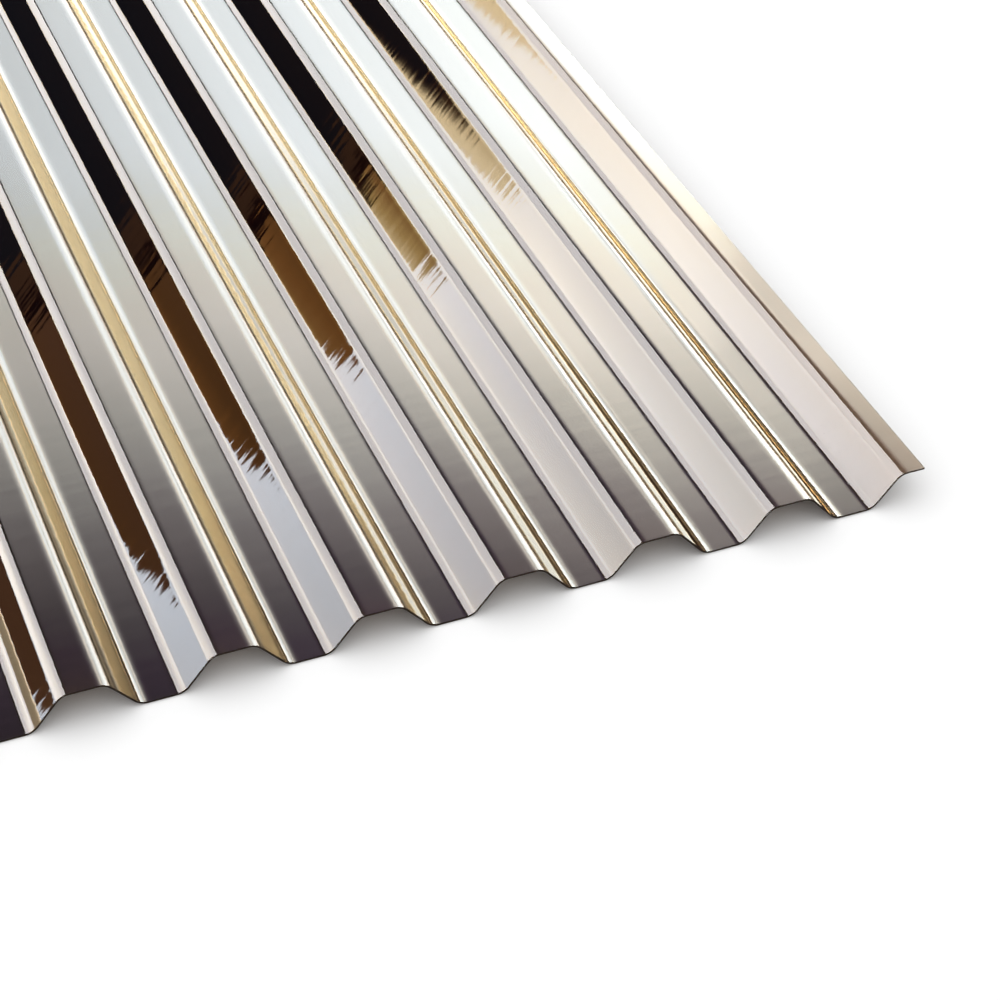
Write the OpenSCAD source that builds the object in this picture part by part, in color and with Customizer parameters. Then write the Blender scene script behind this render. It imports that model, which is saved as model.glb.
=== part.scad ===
// Profiled polycarbonate sheet: one thin sheet formed into a run of flat-topped waves.
// It lies flat on its valleys. X runs across the waves, Y along them, and Z is up.
// The origin is at floor level, under the middle of the sheet.

/* [Sheet] */
// Overall width, across the waves
sheet_w = 1095; // [400:1:1260]
// Overall length, along the waves
sheet_l = 2000; // [200:10:6000]
// Thickness of the sheet itself
sheet_t = 1; // [0.7:0.1:2.5]

/* [Wave] */
// Distance from one crest to the next
pitch = 70; // [60:0.5:90]
// Overall height, from the underside of a valley to the top of a crest
wave_h = 18; // [10:0.5:26]
// Width of a crest, between the corners that its walls would make with no bends
crest_w = 20.5; // [15:0.5:26]
// Width of a valley, between the corners that its walls would make with no bends
valley_w = 20.5; // [15:0.5:26]
// Radius of each bend, at the middle of the thickness
bend_r = 8; // [3:0.5:10]
// How far the right edge runs past the middle of the last crest
past_crest = 2.5; // [0:0.1:10]

/* [Hidden] */

bend_steps = 6; // short flats that make up each bend
rise = wave_h - sheet_t; // height of a crest over a valley, top face to top face
run = (pitch - crest_w - valley_w) / 2; // how far a wall leans from its foot to its head
lean = atan(rise / run); // slope of a wall, and so the turn of each bend
taken = bend_r * tan(lean / 2); // length that a bend takes from the flat on each side of it
last_crest = sheet_w / 2 - past_crest; // X of the middle of the right-hand crest
waves = ceil(sheet_w / pitch) + 1; // waves laid out, before the two side edges are cut
first_crest = last_crest - (waves - 1) * pitch; // X of the middle of the crest they start at

// The arc of one bend about a centre, turning from one angle to another
function arc(centre, r, from, to) = [
    for (i = [0:bend_steps])
        let (a = from + (to - from) * i / bend_steps) centre + r * [cos(a), sin(a)]
];

// One wave of the top face (side = 1) or the under face (side = -1), from the middle of
// the crest at x to the middle of the next crest on its right
function wave(x, side) =
    let (
        crest_r = bend_r + side * sheet_t / 2,
        valley_r = bend_r - side * sheet_t / 2,
        crest_x = crest_w / 2 - taken, // from a crest's middle to where its bends start
        valley_x = crest_w / 2 + run + taken, // and to where the valley's flat starts
        crest_z = rise + sheet_t / 2 - bend_r,
        valley_z = sheet_t / 2 + bend_r
    )
    concat(
        arc([x + crest_x, crest_z], crest_r, 90, 90 - lean),
        arc([x + valley_x, valley_z], valley_r, 270 - lean, 270),
        arc([x + pitch - valley_x, valley_z], valley_r, 270, 270 + lean),
        arc([x + pitch - crest_x, crest_z], crest_r, 90 + lean, 90)
    );

// A whole face, from left to right
function face(side) = [
    for (i = [0:waves - 1]) each wave(first_crest + i * pitch, side)
];

function reversed(points) = [for (i = [len(points) - 1:-1:0]) points[i]];

// The section across the sheet, cut to width at its two side edges
module section() {
    intersection() {
        polygon(concat(face(1), reversed(face(-1))));
        translate([-sheet_w / 2, -sheet_t]) square([sheet_w, wave_h + 2 * sheet_t]);
    }
}

module sheet() {
    color([0.62, 0.56, 0.5, 0.45])
        rotate([90, 0, 0])
            linear_extrude(height = sheet_l, center = true) section();
}

sheet();
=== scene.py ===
import math

import bpy
from mathutils import Matrix, Vector


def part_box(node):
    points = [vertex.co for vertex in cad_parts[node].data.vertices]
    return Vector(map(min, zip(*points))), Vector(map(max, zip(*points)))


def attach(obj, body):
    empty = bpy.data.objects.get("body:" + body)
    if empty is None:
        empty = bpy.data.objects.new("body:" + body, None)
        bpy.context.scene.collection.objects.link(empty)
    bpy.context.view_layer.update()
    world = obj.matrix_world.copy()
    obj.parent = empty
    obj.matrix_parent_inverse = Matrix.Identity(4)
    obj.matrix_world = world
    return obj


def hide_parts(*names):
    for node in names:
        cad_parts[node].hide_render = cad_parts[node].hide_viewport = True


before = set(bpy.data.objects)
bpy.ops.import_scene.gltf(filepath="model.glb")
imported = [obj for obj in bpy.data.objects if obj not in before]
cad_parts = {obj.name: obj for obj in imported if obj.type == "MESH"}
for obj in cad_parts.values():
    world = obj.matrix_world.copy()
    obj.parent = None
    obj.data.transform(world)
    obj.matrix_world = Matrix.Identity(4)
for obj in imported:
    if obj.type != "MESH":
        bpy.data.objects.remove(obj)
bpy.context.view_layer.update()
print("frame loaded")

low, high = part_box("sheet")


def node(tree, kind, **inputs):
    made = tree.nodes.new(kind)
    for name, value in inputs.items():
        made.inputs[name].default_value = value
    return made


# puts a plain value in a socket, or joins it to another node's output
def feed(tree, socket, value):
    if isinstance(value, (int, float, tuple)):
        socket.default_value = value
    else:
        tree.links.new(value, socket)


def calc(tree, operation, a, b=0.0):
    made = tree.nodes.new("ShaderNodeMath")
    made.operation = operation
    feed(tree, made.inputs[0], a)
    feed(tree, made.inputs[1], b)
    return made.outputs[0]


# 0 below start and 1 above end, with a smooth step between
def smoothStep(tree, value, start, end):
    made = tree.nodes.new("ShaderNodeMapRange")
    made.interpolation_type = "SMOOTHSTEP"
    feed(tree, made.inputs["From Min"], start)
    feed(tree, made.inputs["From Max"], end)
    feed(tree, made.inputs["Value"], value)
    return made.outputs["Result"]


def mixColour(tree, amount, first, second):
    made = tree.nodes.new("ShaderNodeMix")
    made.data_type = "RGBA"
    feed(tree, made.inputs[0], amount)
    feed(tree, made.inputs[6], first)
    feed(tree, made.inputs[7], second)
    return made.outputs[2]


def mixShader(tree, amount, first, second):
    made = tree.nodes.new("ShaderNodeMixShader")
    feed(tree, made.inputs[0], amount)
    tree.links.new(first, made.inputs[1])
    tree.links.new(second, made.inputs[2])
    return made.outputs[0]


def vectorCalc(tree, operation, a, b):
    made = tree.nodes.new("ShaderNodeVectorMath")
    made.operation = operation
    feed(tree, made.inputs[0], a)
    feed(tree, made.inputs[1], b)
    return made.outputs[0]


# the formed sheet, in metres: its waves repeat the CAD section, with true round bends
sheetShape = {
    "pitch": 0.070,
    "thickness": 0.001,
    "crestWidth": 0.0205,  # between the corners that the walls would make with no bends
    "valleyWidth": 0.0205,
    "bendRadius": 0.008,  # at the middle of the thickness
    "pastCrest": 0.0025,  # the right edge runs this far past the middle of the last crest
    # the shading of each side's bends, from crest to wall and from wall to valley, as (millimetres past the
    # bend's start, degrees of lean); softened over the metres given as runOut
    "rightFacing": {
        "top": ((0, 0), (1.73, 8.9), (3.46, 21.1), (5.19, 35.1), (6.92, 50.3)),
        "foot": ((0, 50.3), (1.73, 35.6), (3.46, 21.9), (5.19, 9.5), (6.92, 0)),
        "runOut": 0.0018,
    },
    "leftFacing": {
        "top": ((-0.4, 0), (1.05, 3.5), (1.6, 8), (2.2, 14), (2.6, 19.5), (3.4, 22), (6.1, 27),
                (6.9, 42.8)),
        "foot": ((0, 40.6), (1.1, 39.6), (1.7, 38), (2.3, 27), (4.9, 19), (5.4, 14), (5.9, 10), (6.6, 3),
                 (7.6, 0)),
        "runOut": 0.0003,
    },
    "crestTip": 0.3,  # degrees that the crests tip towards the near end in their shading
    "flatSteps": 7,
    "bendSteps": 16,
    "wallSteps": 8,
    "lengthSteps": 12,
}


# the section's middle line from the middle of a crest to the middle of a valley, each point as (x, z, tilt,
# lean of the shading)
def middleLine(shade):
    shape = sheetShape
    rise = high.z - low.z - shape["thickness"]
    run = (shape["pitch"] - shape["crestWidth"] - shape["valleyWidth"]) / 2
    lean = math.atan2(rise, run)
    radius = shape["bendRadius"]
    taken = radius * math.tan(lean / 2)  # what a bend takes off the flat and the wall beside it
    # each stretch: length, tilt at its start and end, number of steps
    stretches = (
        (shape["crestWidth"] / 2 - taken, 0.0, 0.0, shape["flatSteps"]),
        (radius * lean, 0.0, lean, shape["bendSteps"]),
        (math.hypot(rise, run) - 2 * taken, lean, lean, shape["wallSteps"]),
        (radius * lean, lean, 0.0, shape["bendSteps"]),
        (shape["valleyWidth"] / 2 - taken, 0.0, 0.0, shape["flatSteps"]),
    )
    whole = sum(stretch[0] for stretch in stretches)
    topStart, footStart = stretches[0][0], whole - stretches[4][0] - stretches[3][0]
    leans = [(topStart + offset / 1000, angle) for offset, angle in shade["top"]]
    leans += [(footStart + offset / 1000, angle) for offset, angle in shade["foot"]]

    def leanAt(along):
        if along < 0:
            return -leanAt(-along)
        if along > whole:
            return -leanAt(2 * whole - along)
        for (start, first), (end, second) in zip(leans, leans[1:]):
            if start <= along < end:
                return first + (second - first) * (along - start) / (end - start)
        return 0.0

    # the lean at a place, evened out over nine places within the run-out to each side of it
    def shadingAt(along):
        places = [along + shade["runOut"] * i / 4 for i in range(-4, 5)]
        return math.radians(sum(leanAt(place) for place in places) / len(places))

    # the point a share of the way along a stretch that starts at x, z, and its tilt
    def pointOn(x, z, length, tilt, endTilt, share):
        if tilt == endTilt:
            return x + length * share * math.cos(tilt), z - length * share * math.sin(tilt), tilt
        now = tilt + (endTilt - tilt) * share
        turn = radius if endTilt > tilt else -radius
        return x + turn * (math.sin(now) - math.sin(tilt)), z + turn * (math.cos(now) - math.cos(tilt)), now

    half = []
    x, z, along = 0.0, high.z - shape["thickness"] / 2, 0.0
    for length, tilt, endTilt, steps in stretches:
        for step in range(steps):
            share = step / steps
            half.append((*pointOn(x, z, length, tilt, endTilt, share), shadingAt(along + length * share)))
        x, z, _ = pointOn(x, z, length, tilt, endTilt, 1.0)
        along += length
    return half + [(x, z, 0.0, 0.0)]


# one face of the sheet as (x, z, then its normal); side is 1 for the top face and -1 for the under face
def sectionFace(side):
    shape = sheetShape
    right, left = middleLine(shape["rightFacing"]), middleLine(shape["leftFacing"])
    wave = right + [(shape["pitch"] - x, z, -tilt, -shading) for x, z, tilt, shading in left[-2:0:-1]]
    off = side * shape["thickness"] / 2
    middle, tip = (high.z + low.z) / 2, math.radians(shape["crestTip"])
    waves = math.ceil((high.x - low.x) / shape["pitch"]) + 1
    points = []
    for count in range(-waves, 1):
        start = high.x - shape["pastCrest"] + count * shape["pitch"]
        for x, z, tilt, shading in wave:
            tipped = -tip * math.cos(shading) ** 6 if z > middle else 0.0  # fades out down the bends
            normal = Vector((math.sin(shading), tipped, math.cos(shading))) * side
            points.append((start + x + off * math.sin(tilt), z + off * math.cos(tilt), *normal))
    return cutToWidth(points)


# keeps the points between the side edges, and adds one exactly on each edge
def cutToWidth(points):
    def between(a, b, x):
        share = (x - a[0]) / (b[0] - a[0])
        return tuple(p + (q - p) * share for p, q in zip(a, b))
    kept = []
    for a, b in zip(points, points[1:]):
        if a[0] < low.x < b[0]:
            kept.append(between(a, b, low.x))
        if low.x <= a[0] <= high.x:
            kept.append(a)
        if a[0] < high.x < b[0]:
            kept.append(between(a, b, high.x))
    return kept


def sheetMesh():
    top, under = sectionFace(1), sectionFace(-1)
    rows = sheetShape["lengthSteps"] + 1
    mesh = bpy.data.meshes.new("profiledSheet")
    verts, faces, cornerNormals = [], [], []

    def addVert(x, y, z):
        verts.append((x, y, z))
        return len(verts) - 1

    def addFace(corners):  # each corner is (vertex, normal)
        faces.append([vertex for vertex, _ in corners])
        cornerNormals.extend(normal for _, normal in corners)

    def rowY(row):
        return low.y + (high.y - low.y) * row / (rows - 1)

    grids = []
    for outline, side in ((top, 1), (under, -1)):
        grid = [[addVert(point[0], rowY(row), point[1]) for point in outline] for row in range(rows)]
        grids.append(grid)
        normals = [point[2:] for point in outline]
        for row in range(rows - 1):
            for i in range(len(outline) - 1):
                corners = [
                    (grid[row][i], normals[i]), (grid[row][i + 1], normals[i + 1]),
                    (grid[row + 1][i + 1], normals[i + 1]), (grid[row + 1][i], normals[i]),
                ]
                addFace(corners if side > 0 else corners[::-1])
    topGrid, underGrid = grids
    # the two cut ends are strips between the faces, paired by how far along the section they are
    for row, facing in ((0, -1.0), (rows - 1, 1.0)):
        normal = (0.0, facing, 0.0)
        i, j = 0, 0
        while i < len(top) - 1 or j < len(under) - 1:
            stepTop = j == len(under) - 1 or (
                i < len(top) - 1 and top[i + 1][0] + top[i][0] <= under[j + 1][0] + under[j][0]
            )
            a, b = topGrid[row][i], underGrid[row][j]
            c = topGrid[row][i + 1] if stepTop else underGrid[row][j + 1]
            corners = [(a, normal), (b, normal), (c, normal)]
            addFace(corners if facing < 0 else corners[::-1])
            i, j = (i + 1, j) if stepTop else (i, j + 1)
    # the two side edges
    for column, facing in ((0, -1.0), (-1, 1.0)):
        normal = (facing, 0.0, 0.0)
        for row in range(rows - 1):
            corners = [
                (topGrid[row][column], normal), (underGrid[row][column], normal),
                (underGrid[row + 1][column], normal), (topGrid[row + 1][column], normal),
            ]
            addFace(corners[::-1] if facing < 0 else corners)
    mesh.from_pydata(verts, [], faces)
    mesh.validate()
    mesh.polygons.foreach_set("use_smooth", [True] * len(mesh.polygons))
    mesh.normals_split_custom_set([Vector(n).normalized() for n in cornerNormals])
    mesh.update()
    piece = bpy.data.objects.new("profiledSheet", mesh)
    bpy.context.collection.objects.link(piece)
    return piece


def newGroup(name, inputs, outputs):
    group = bpy.data.node_groups.new(name, "ShaderNodeTree")
    for label, kind, value in inputs:
        socket = group.interface.new_socket(label, in_out="INPUT", socket_type=kind)
        if value is not None:
            socket.default_value = value
    for label, kind in outputs:
        group.interface.new_socket(label, in_out="OUTPUT", socket_type=kind)
    return group, group.nodes.new("NodeGroupInput"), group.nodes.new("NodeGroupOutput")


# noise from 0 to 1, stretched by the given scale along each axis
def stretchedNoise(tree, place, scale, detail=2.0):
    mapping = tree.nodes.new("ShaderNodeMapping")
    mapping.inputs["Scale"].default_value = scale
    tree.links.new(place, mapping.inputs["Vector"])
    noise = node(tree, "ShaderNodeTexNoise", Scale=1.0, Detail=detail, Roughness=0.5)
    tree.links.new(mapping.outputs[0], noise.inputs["Vector"])
    return noise.outputs["Fac"]


# the slight waviness of a rolled sheet; scales are for each metre across, along and up
rolledWaves = {
    "broadScale": (9.0, 14.0, 9.0),
    "rippleScale": (12.0, 130.0, 12.0),
    "fineScale": (14.0, 300.0, 14.0),
    "broadPart": 4.0,  # how high the broad waves are, for a ripple of 1
}


# broad waves, with faint ripples across the flats that are stronger on the steep walls
def wavinessGroup():
    group, given, made = newGroup(
        "rolledWaviness",
        [("Place", "NodeSocketVector", None), ("Steepness", "NodeSocketFloat", 0.0),
         ("Ripple", "NodeSocketFloat", 1.0), ("Fine", "NodeSocketFloat", 1.0),
         ("On Walls", "NodeSocketFloat", 3.0)],
        [("Height", "NodeSocketFloat")])
    place = given.outputs["Place"]
    broad = stretchedNoise(group, place, rolledWaves["broadScale"])
    ripple = stretchedNoise(group, place, rolledWaves["rippleScale"])
    fine = stretchedNoise(group, place, rolledWaves["fineScale"], 3.0)
    small = calc(group, "ADD", calc(group, "MULTIPLY", ripple, given.outputs["Ripple"]),
                 calc(group, "MULTIPLY", fine, given.outputs["Fine"]))
    extra = calc(group, "SUBTRACT", given.outputs["On Walls"], 1.0)
    stronger = calc(group, "ADD", 1.0, calc(group, "MULTIPLY", given.outputs["Steepness"], extra))
    total = calc(group, "ADD", calc(group, "MULTIPLY", broad, rolledWaves["broadPart"]),
                 calc(group, "MULTIPLY", small, stronger))
    group.links.new(total, made.inputs["Height"])
    return group


# the finish that drawing the sheet out of its die leaves; scales are for each metre across, along and up
drawnLines = {
    "cloudScale": (7.0, 5.0, 7.0),
    "cloudFrom": (0.35, 0.75),
    "lineScale": (420.0, 2.2, 420.0),
    "lineFrom": (0.62, 0.8),
    "linePart": 0.6,
}


# cloudy patches and faint lines along the sheet, as a roughness and a mask
def finishGroup():
    group, given, made = newGroup(
        "drawnFinish",
        [("Place", "NodeSocketVector", None), ("Gloss", "NodeSocketFloat", 0.01),
         ("Haze", "NodeSocketFloat", 0.03)],
        [("Roughness", "NodeSocketFloat"), ("Mask", "NodeSocketFloat")])
    place = given.outputs["Place"]
    clouds = stretchedNoise(group, place, drawnLines["cloudScale"], 3.0)
    lines = stretchedNoise(group, place, drawnLines["lineScale"], 3.0)
    drawn = smoothStep(group, lines, *drawnLines["lineFrom"])
    cloudy = smoothStep(group, clouds, *drawnLines["cloudFrom"])
    mask = calc(group, "MAXIMUM", calc(group, "MULTIPLY", drawn, drawnLines["linePart"]), cloudy)
    duller = calc(group, "SUBTRACT", given.outputs["Haze"], given.outputs["Gloss"])
    roughness = calc(group, "ADD", given.outputs["Gloss"], calc(group, "MULTIPLY", mask, duller))
    group.links.new(roughness, made.inputs["Roughness"])
    group.links.new(mask, made.inputs["Mask"])
    return group


# a group placed in a material, with its own values
def useGroup(tree, group, place, settings):
    made = tree.nodes.new("ShaderNodeGroup")
    made.node_tree = group
    tree.links.new(place, made.inputs["Place"])
    for label, value in settings.items():
        feed(tree, made.inputs[label], value)
    return made.outputs


# the clear bronze polycarbonate
clearBronze = {
    "surface": (0.98, 0.97, 0.96, 1.0),
    "hazySurface": (0.94, 0.925, 0.90, 1.0),
    "ior": 1.585,
    "gloss": 0.009,  # roughness of the clear faces, and where they are faintly drawn or cloudy
    "haze": 0.024,
    "tint": (0.60, 0.47, 0.25, 1.0),
    "tintDensity": 3500.0,
    "shade": (0.41, 0.39, 0.36, 1.0),  # painted shadow: what one face lets through to the floor, a deep tint that darkens the floor beneath
    # painted reflection: the colour one part of the sheet shows of another, in its flats, bends and steep
    # walls
    "paintedFlatReflection": (1.25, 1.17, 1.06, 1.0),
    "paintedBendGlow": (1.6, 1.4, 1.1, 1.0),
    "paintedWallGlow": (1.65, 1.33, 0.85, 1.0),
    "flatFrom": (0.985, 0.999),  # how upright a face's normal must be, from 0 to 1
    "bendFrom": (0.80, 0.90),
    "steepBelow": (0.78, 0.96),
    "waveHeight": 0.000012,
    "ripple": 1.6,
    "fine": 0.12,
    "onWalls": 2.0,
    "cutFrom": 0.9,  # how far sideways a cut face's normal points
    # painted shade on the sawn faces: a near-black colour, and a dim amber tint on their reflection
    "cutEdgePaintedDark": (0.03, 0.012, 0.006, 1.0),
    "cutPaintedDimShine": (0.2, 0.12, 0.06, 1.0),
    "cutRoughness": 0.3,
}


# how far a normal points along an axis, either way
def normalPart(tree, normal, axis):
    split = tree.nodes.new("ShaderNodeSeparateXYZ")
    tree.links.new(normal, split.inputs[0])
    return calc(tree, "ABSOLUTE", split.outputs[axis])


def bronzeMaterial():
    values = clearBronze
    material = bpy.data.materials.new("clearBronze")
    material.use_nodes = True
    tree = material.node_tree
    tree.nodes.clear()
    place = tree.nodes.new("ShaderNodeTexCoord").outputs["Object"]
    geometry = tree.nodes.new("ShaderNodeNewGeometry").outputs
    level = normalPart(tree, geometry["Normal"], "Z")
    steepness = calc(tree, "SUBTRACT", 1.0, smoothStep(tree, level, *values["steepBelow"]))
    # the sawn ends and side edges are duller, and painted dark: a near-black colour and a dim amber
    # reflection stand in for their shade
    sideways = calc(tree, "MAXIMUM", normalPart(tree, geometry["True Normal"], "X"),
                    normalPart(tree, geometry["True Normal"], "Y"))
    cut = calc(tree, "GREATER_THAN", sideways, values["cutFrom"])
    finish = useGroup(tree, finishGroup(), place, {"Gloss": values["gloss"], "Haze": values["haze"]})
    faces = mixColour(tree, finish["Mask"], values["surface"], values["hazySurface"])
    roughness = calc(tree, "MAXIMUM", finish["Roughness"],
                     calc(tree, "MULTIPLY", cut, values["cutRoughness"]))
    waviness = useGroup(tree, wavinessGroup(), place, {
        "Steepness": steepness, "On Walls": values["onWalls"], "Ripple": values["ripple"],
        "Fine": values["fine"]})
    bump = node(tree, "ShaderNodeBump", Strength=1.0, Distance=values["waveHeight"])
    tree.links.new(waviness["Height"], bump.inputs["Height"])
    body = node(tree, "ShaderNodeBsdfPrincipled", IOR=values["ior"])
    body.inputs["Transmission Weight"].default_value = 1.0
    feed(tree, body.inputs["Base Color"], mixColour(tree, cut, faces, values["cutEdgePaintedDark"]))
    feed(tree, body.inputs["Specular Tint"],
         mixColour(tree, cut, (1.0, 1.0, 1.0, 1.0), values["cutPaintedDimShine"]))
    feed(tree, body.inputs["Roughness"], roughness)
    tree.links.new(bump.outputs["Normal"], body.inputs["Normal"])
    # painted reflection: where the sheet shows itself mirrored, a plain mirror stands in, brightened on flats
    # and painted gold on bends and walls
    rays = tree.nodes.new("ShaderNodeLightPath").outputs
    second = mixColour(tree, smoothStep(tree, level, *values["bendFrom"]), values["paintedWallGlow"],
                       values["paintedBendGlow"])
    second = mixColour(tree, smoothStep(tree, level, *values["flatFrom"]), second, values["paintedFlatReflection"])
    paintedReflection = tree.nodes.new("ShaderNodeVectorMath")
    paintedReflection.operation = "SCALE"
    tree.links.new(second, paintedReflection.inputs[0])
    tree.links.new(node(tree, "ShaderNodeFresnel", IOR=values["ior"]).outputs[0], paintedReflection.inputs["Scale"])
    mirror = node(tree, "ShaderNodeBsdfGlossy", Roughness=values["gloss"])
    tree.links.new(paintedReflection.outputs[0], mirror.inputs["Color"])
    again = mixShader(tree, geometry["Backfacing"], mirror.outputs[0], body.outputs[0])
    surface = mixShader(tree, rays["Is Glossy Ray"], body.outputs[0], again)
    # painted shadow: rays that light the floor pass straight through, in a plain deep tint that darkens the
    # floor beneath the sheet
    paintedShadowPass = node(tree, "ShaderNodeBsdfTransparent", Color=values["shade"]).outputs[0]
    surface = mixShader(tree, rays["Is Diffuse Ray"], surface, paintedShadowPass)
    surface = mixShader(tree, rays["Is Shadow Ray"], surface, paintedShadowPass)
    # the tint of the plastic, through its thickness
    tint = node(tree, "ShaderNodeVolumeAbsorption", Color=values["tint"], Density=values["tintDensity"])
    output = node(tree, "ShaderNodeOutputMaterial")
    tree.links.new(surface, output.inputs["Surface"])
    tree.links.new(tint.outputs["Volume"], output.inputs["Volume"])
    return material


# the studio round the sheet, as light by direction: azimuth from +Y towards +X, and elevation, in degrees.
# Each panel of light fades over the degrees given as soft, at its low and its high edge
studio = {
    "plain": (1.1, 1.1, 1.1),  # the even light that falls on the floor
    "backdrop": (1.05, 1.05, 1.05),
    "ceiling": (0.35, 0.33, 0.36),
    "ceilingFrom": (24.0, 46.0),
    "front": (1.3, 1.3, 1.3),  # behind whoever faces the sheet's near end
    "frontFrom": (80.0, 110.0),
    "darkGap": {"colour": (0.02, 0.015, 0.015), "azimuth": (-3.5, 2.5), "azimuthSoft": (1.5, 4.0),
                "elevation": (16.0, 60.0), "elevationSoft": (4.0, 10.0)},
    "dimCorner": {"colour": (6.4, 6.15, 5.5), "azimuth": (27.5, 34.0), "azimuthSoft": (2.0, 3.0),
                  "elevation": (31.5, 35.8), "elevationSoft": (2.0, 1.2)},
}

# the dark doorway low at the left, seen in the left-facing walls. Its near edge is an azimuth that rises
# with elevation; steps are (elevation, colour) inside it
doorway = {
    "azimuth": -41.4, "atElevation": 10.8, "slope": 0.89, "soft": 0.5,
    "top": (21.6, 22.4),
    "end": (-20.0, -14.0),
    "steps": ((11, (0.5, 0.23, 0.12)), (14.5, (0.6, 0.26, 0.09)), (17, (1.3, 0.54, 0.15)),
              (18.2, (1.75, 0.85, 0.27)), (19.4, (3.4, 2.2, 0.8)), (21.3, (7.2, 5.7, 3.4))),
    # further in: a thin dark bar, a deep brown stretch, then black, each as (azimuth, colour)
    "zones": ((-32.3, (0.02, 0.01, 0.02, 1.0)), (-31.75, (0.25, 0.12, 0.07, 1.0)),
              (-31.0, (0.03, 0.04, 0.06, 1.0))),
    "zonesAt": 15.0, "zonesSlope": 0.28, "zonesSoft": 0.16,  # their azimuths are at this elevation
    "zonesTop": (19.6, 21.0),
}

# the walls of light, bright as a clear sheet mirrors little: (elevation, colour) steps, and (azimuth, factor)
# steps of gain
leftWall = {
    "azimuth": (-75.0, -3.0), "azimuthSoft": (20.0, 2.0),
    "steps": ((0, (1.0, 1.0, 1.0)), (4, (5.0, 5.3, 6.0)), (9, (5.7, 6.1, 6.8)), (13, (5.9, 6.3, 6.9)),
              (16.6, (5.9, 6.1, 6.5)), (19.8, (6.6, 6.5, 6.7)), (21.5, (7.0, 6.75, 6.6)),
              (23.5, (8.3, 7.9, 7.4)), (26, (9.2, 8.9, 8.5)), (29, (9.7, 9.3, 9.2)), (32, (8.0, 7.8, 7.7)),
              (36, (8.7, 8.4, 8.4)), (42, (9.6, 9.3, 9.3)), (46, (11.0, 10.7, 10.7)),
              (50, (10.0, 9.8, 9.8)), (53, (0.4, 0.4, 0.4))),
    "gain": ((-42, 0.92), (-36.5, 1.2), (-33, (1.46, 1.43, 1.36)), (-28, (1.28, 1.25, 1.17)),
             (-24, 0.92), (-20, 0.86)),
}
rightWall = {
    "azimuth": (4.0, 66.0), "azimuthSoft": (3.0, 20.0),
    "steps": ((-3, (0.5, 0.25, 0.12)), (0, (0.7, 0.38, 0.19)), (3, (1.3, 1.03, 0.7)),
              (5.8, (2.75, 2.4, 2.0)), (8.6, (4.4, 4.1, 3.8)), (11, (5.8, 5.6, 5.4)), (14, (7.2, 7.3, 7.2)),
              (27, (7.4, 7.9, 8.0)), (31, (8.5, 9.1, 9.3)), (32, (8.2, 8.7, 8.6)), (33, (8.4, 8.6, 7.8)),
              (34, (8.2, 7.9, 7.1)),
              (35, (7.9, 7.6, 7.0)), (36, (6.7, 6.5, 6.0)), (37, (5.4, 5.3, 4.9)), (38, (4.1, 4.0, 3.8)),
              (39, (2.65, 2.5, 2.5)), (40, (1.85, 1.7, 1.75)), (41, (1.1, 1.0, 1.1)),
              (42, (0.68, 0.53, 0.75)), (43, (0.5, 0.42, 0.58)), (46, (0.45, 0.38, 0.5))),
    "gain": ((8, 0.6), (16, 0.9), (24, (1.22, 1.19, 1.13)), (26.5, (1.22, 1.19, 1.13)),
             (28, (1.19, 1.16, 1.1)), (29.5, (1.12, 1.09, 1.04)), (31, (0.9, 0.88, 0.84)),
             (33.5, (0.88, 0.86, 0.83)), (37, (1.47, 1.45, 1.38))),
}


# 1 between the two edges of span and 0 outside, fading over soft at each edge
def window(tree, value, span, soft):
    rises = smoothStep(tree, value, span[0] - soft[0] / 2, span[0] + soft[0] / 2)
    falls = smoothStep(tree, value, span[1] - soft[1] / 2, span[1] + soft[1] / 2)
    return calc(tree, "MULTIPLY", rises, calc(tree, "SUBTRACT", 1.0, falls))


def below(tree, value, span):
    return calc(tree, "SUBTRACT", 1.0, smoothStep(tree, value, *span))


# a colour or factor that changes with an angle
def stepped(tree, angle, steps):
    ramp = tree.nodes.new("ShaderNodeValToRGB")
    lowest, highest = steps[0][0], steps[-1][0]
    tones = [tone if isinstance(tone, tuple) else (tone,) * 3 for _, tone in steps]
    strongest = max(max(tone) for tone in tones)
    place = tree.nodes.new("ShaderNodeMapRange")
    place.inputs["From Min"].default_value = lowest
    place.inputs["From Max"].default_value = highest
    tree.links.new(angle, place.inputs["Value"])
    tree.links.new(place.outputs["Result"], ramp.inputs[0])
    stops = ramp.color_ramp.elements
    stops.remove(stops[1])
    for count, tone in enumerate(tones):
        stop = stops.new((steps[count][0] - lowest) / (highest - lowest)) if count else stops[0]
        stop.color = (*(part / strongest for part in tone), 1.0)
    return vectorCalc(tree, "MULTIPLY", ramp.outputs["Color"], (strongest,) * 3)


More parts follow.
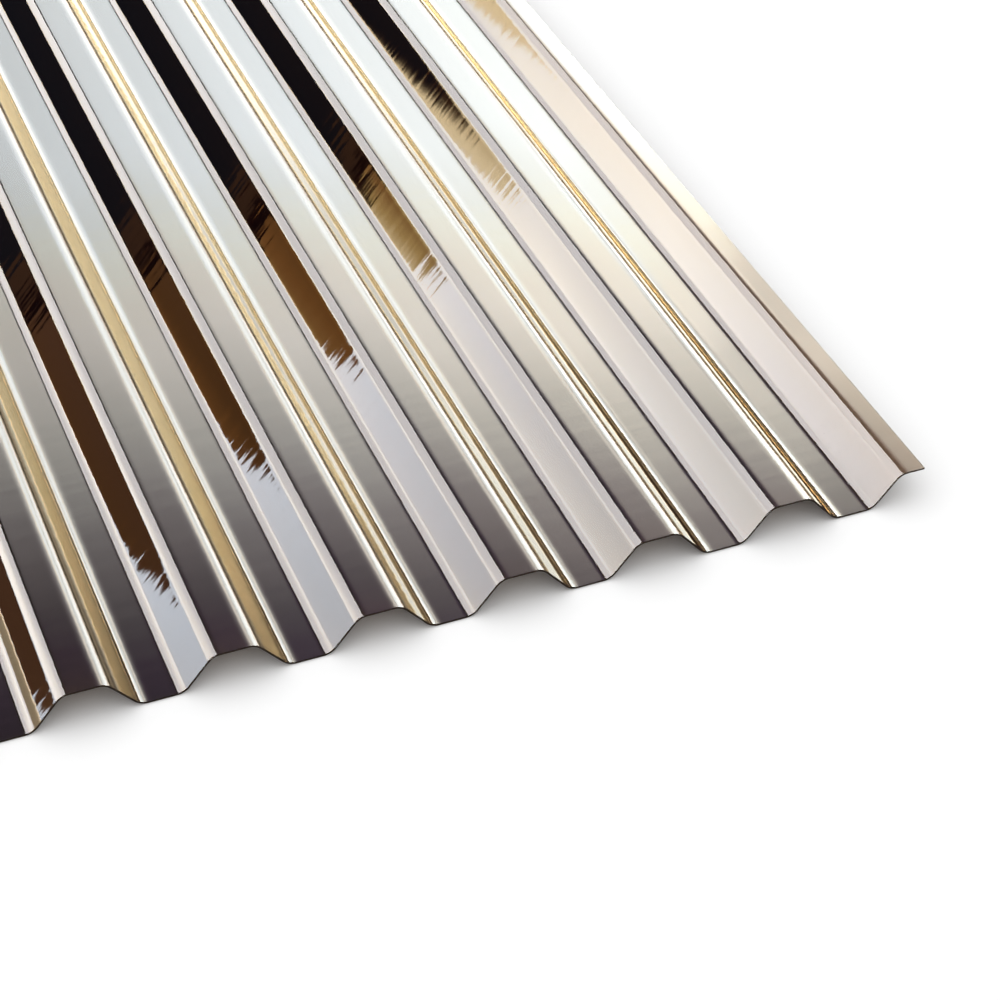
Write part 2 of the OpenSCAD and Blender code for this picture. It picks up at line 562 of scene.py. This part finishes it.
def makeRoom():
    world = bpy.data.worlds.new("studio")
    bpy.context.scene.world = world
    world.use_nodes = True
    tree = world.node_tree
    tree.nodes.clear()
    split = tree.nodes.new("ShaderNodeSeparateXYZ")
    tree.links.new(tree.nodes.new("ShaderNodeTexCoord").outputs["Generated"], split.inputs[0])
    east, north, up = split.outputs
    degrees = 180 / math.pi
    elevation = calc(tree, "MULTIPLY", calc(tree, "ARCSINE", up), degrees)
    azimuth = calc(tree, "MULTIPLY", calc(tree, "ARCTAN2", east, north), degrees)

    def panel(under, settings):
        mask = calc(tree, "MULTIPLY",
                    window(tree, azimuth, settings["azimuth"], settings["azimuthSoft"]),
                    window(tree, elevation, settings["elevation"], settings["elevationSoft"]))
        return mixColour(tree, mask, under, (*settings["colour"], 1.0))

    def litWall(under, settings):
        lit = vectorCalc(tree, "MULTIPLY", stepped(tree, elevation, settings["steps"]),
                         stepped(tree, azimuth, settings["gain"]))
        shown = window(tree, azimuth, settings["azimuth"], settings["azimuthSoft"])
        return mixColour(tree, shown, under, lit)

    # 1 past an edge whose azimuth rises with elevation
    def pastSlant(start, atElevation, slope, soft):
        rise = calc(tree, "MULTIPLY", calc(tree, "SUBTRACT", elevation, atElevation), slope)
        slanted = calc(tree, "SUBTRACT", azimuth, rise)
        return smoothStep(tree, slanted, start - soft / 2, start + soft / 2)

    colour = mixColour(tree, smoothStep(tree, elevation, *studio["ceilingFrom"]),
                       (*studio["backdrop"], 1.0), (*studio["ceiling"], 1.0))
    facingFront = smoothStep(tree, calc(tree, "ABSOLUTE", azimuth), *studio["frontFrom"])
    colour = mixColour(tree, facingFront, colour, (*studio["front"], 1.0))
    colour = litWall(colour, rightWall)
    colour = panel(colour, studio["dimCorner"])
    colour = panel(colour, studio["darkGap"])
    colour = litWall(colour, leftWall)
    # the doorway, and what stands further in
    door = doorway
    opened = pastSlant(door["azimuth"], door["atElevation"], door["slope"], door["soft"])
    opened = calc(tree, "MULTIPLY", opened, below(tree, elevation, door["top"]))
    opened = calc(tree, "MULTIPLY", opened, below(tree, azimuth, door["end"]))
    inside = stepped(tree, elevation, door["steps"])
    under = below(tree, elevation, door["zonesTop"])
    for start, tone in door["zones"]:
        there = pastSlant(start, door["zonesAt"], door["zonesSlope"], door["zonesSoft"])
        inside = mixColour(tree, calc(tree, "MULTIPLY", there, under), inside, tone)
    colour = mixColour(tree, opened, colour, inside)
    # what lights the floor and shows behind it is plain and even; the room is only seen by mirrored rays and
    # by rays that have passed through the sheet
    rays = tree.nodes.new("ShaderNodeLightPath").outputs
    seen = calc(tree, "MAXIMUM", rays["Is Glossy Ray"], rays["Is Transmission Ray"])
    colour = mixColour(tree, seen, (*studio["plain"], 1.0), colour)
    background = tree.nodes.new("ShaderNodeBackground")
    output = tree.nodes.new("ShaderNodeOutputWorld")
    tree.links.new(colour, background.inputs["Color"])
    tree.links.new(background.outputs[0], output.inputs["Surface"])


paleFloor = {
    "reach": 40.0,  # metres from the middle to each side
    "under": 0.0003,  # how far it lies below the sheet
    "colour": (0.97, 0.97, 0.97, 1.0),
    "roughness": 0.9,
    "shine": 0.1,
}


def makeFloor():
    reach = paleFloor["reach"]
    height = low.z - paleFloor["under"]
    corners = [(-reach, -reach), (reach, -reach), (reach, reach), (-reach, reach)]
    mesh = bpy.data.meshes.new("floor")
    mesh.from_pydata([(x, y, height) for x, y in corners], [], [(0, 1, 2, 3)])
    floor = bpy.data.objects.new("floor", mesh)
    bpy.context.collection.objects.link(floor)
    material = bpy.data.materials.new("paleFloor")
    material.use_nodes = True
    body = material.node_tree.nodes["Principled BSDF"]
    body.inputs["Base Color"].default_value = paleFloor["colour"]
    body.inputs["Roughness"].default_value = paleFloor["roughness"]
    body.inputs["Specular IOR Level"].default_value = paleFloor["shine"]
    mesh.materials.append(material)


# where the camera stands, in degrees and metres
cameraPlace = {
    "lookAt": (0.3496, -0.9345, 0.009),
    "fromAzimuth": -21.1,
    "elevation": 38.8,
    "distance": 1.2493,
    "roll": -0.69,
    "lens": 91.97,
}


def makeCamera():
    place = cameraPlace
    azimuth, elevation = math.radians(place["fromAzimuth"]), math.radians(place["elevation"])
    back = Vector((math.sin(azimuth) * math.cos(elevation),
                   -math.cos(azimuth) * math.cos(elevation), math.sin(elevation)))
    data = bpy.data.cameras.new("camera")
    data.lens = place["lens"]
    data.sensor_width = 36.0
    camera = bpy.data.objects.new("camera", data)
    bpy.context.collection.objects.link(camera)
    turn = back.to_track_quat("Z", "Y").to_matrix().to_4x4()
    roll = Matrix.Rotation(math.radians(place["roll"]), 4, "Z")
    stand = Matrix.Translation(Vector(place["lookAt"]) + back * place["distance"])
    camera.matrix_world = stand @ turn @ roll
    bpy.context.scene.camera = camera


bpy.context.scene.view_settings.view_transform = "Standard"
makeCamera()
makeRoom()
makeFloor()
print("studio made")
sheet = sheetMesh()
sheet.data.materials.append(bronzeMaterial())
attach(sheet, "root")
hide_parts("sheet")
print("sheet made:", len(sheet.data.polygons), "faces")
